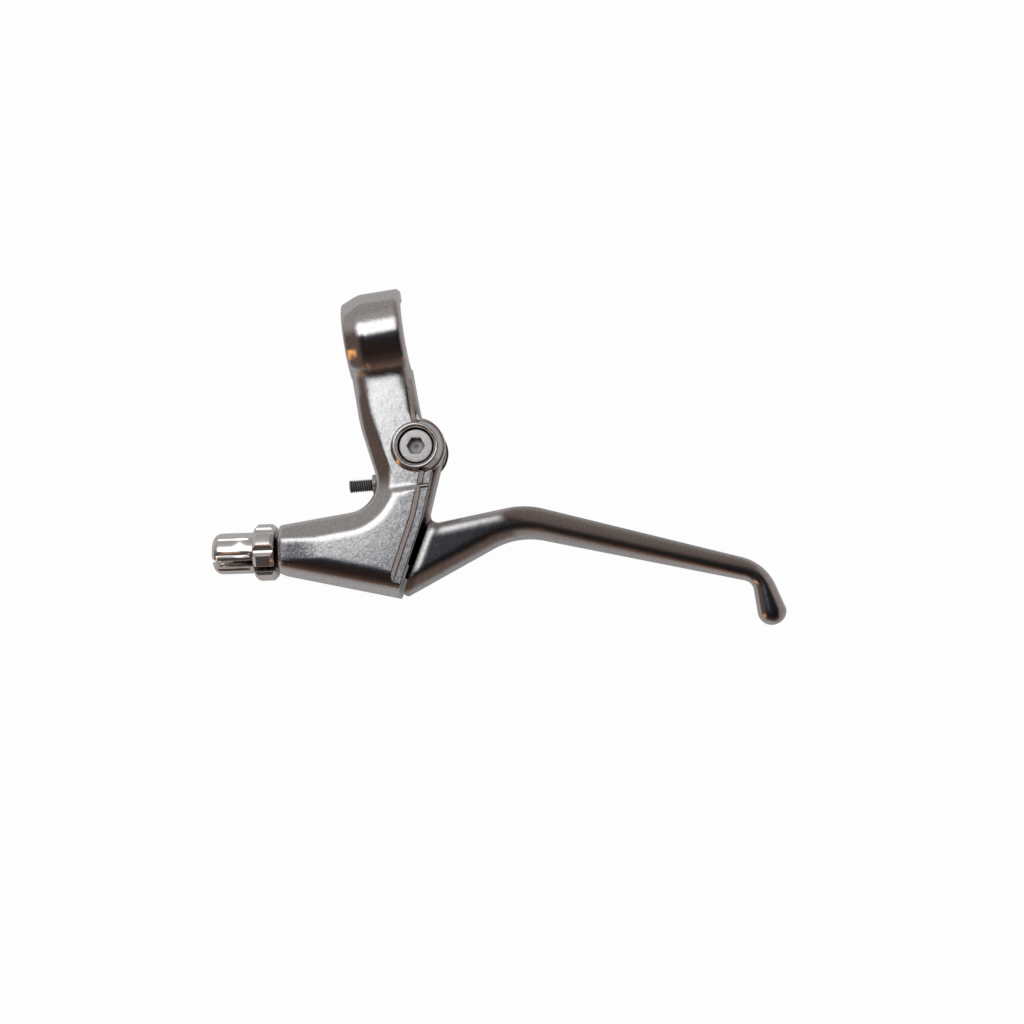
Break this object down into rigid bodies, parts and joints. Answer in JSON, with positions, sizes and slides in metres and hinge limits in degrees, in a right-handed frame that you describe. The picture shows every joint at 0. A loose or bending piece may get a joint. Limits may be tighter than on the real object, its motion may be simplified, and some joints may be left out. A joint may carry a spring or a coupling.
{
  "type": "bicycle brake lever",
  "caption": "Flat-bar bicycle brake lever: cast bracket with handlebar clamp, hooked dog-leg blade on a bolted pivot, reach screw and slotted cable adjuster with lock ring.",
  "frame": {"origin": "centre of the handlebar clamp's bore, on the bar's axis", "axes": "+X along the handlebar towards its grip end, +Y back to the rider, +Z square to the plane in which the lever swings"},
  "size_m": [0.1738, 0.1226, 0.0316],
  "materials": {
    "bracket_alloy": "polished casting with a fine grain",
    "lever_alloy": "polished forging",
    "bush_brass": "turned",
    "bolt_steel": "zinc plated, matt",
    "black_steel": "black oxide",
    "bright_chrome": "bright chrome plate"
  },
  "bodies": {
    "bracket": {"bracket": "bracket_alloy", "pivot_bolt": "bolt_steel", "pivot_washer": "black_steel", "pivot_nut": "black_steel", "clamp_bolt": "bolt_steel"},
    "lever": {"lever_blade": "lever_alloy", "upper_pivot_bush": "bush_brass", "lower_pivot_bush": "bush_brass"},
    "lock_ring": {"lock_ring": "bright_chrome"},
    "adjuster": {"barrel_adjuster": "bright_chrome"},
    "reach_screw": {"reach_screw": "black_steel"}
  },
  "joints": [
    {"name": "lever_pivot", "type": "hinge", "parent": "bracket", "child": "lever", "pos_m": [0.0078, -0.0364, 0], "axis": [0, 0, 1], "range_deg": [0, 40]},
    {"name": "lock_ring_turn", "type": "hinge", "parent": "bracket", "child": "lock_ring", "pos_m": [-0.03932, -0.06155, 0], "axis": [-0.9925, 0.1219, 0], "range_deg": [0, 1800]},
    {"name": "adjuster_travel", "type": "slide", "parent": "lock_ring", "child": "adjuster", "axis": [-0.9925, 0.1219, 0], "range_m": [0, 0.005]},
    {"name": "reach_screw_travel", "type": "slide", "parent": "bracket", "child": "reach_screw", "axis": [-0.9971, 0.0767, 0], "range_m": [0, 0.004]}
  ],
  "couplings": [
    {"joint": "adjuster_travel", "follows": "lock_ring_turn", "m_per_rad": 0.000159}
  ]
}
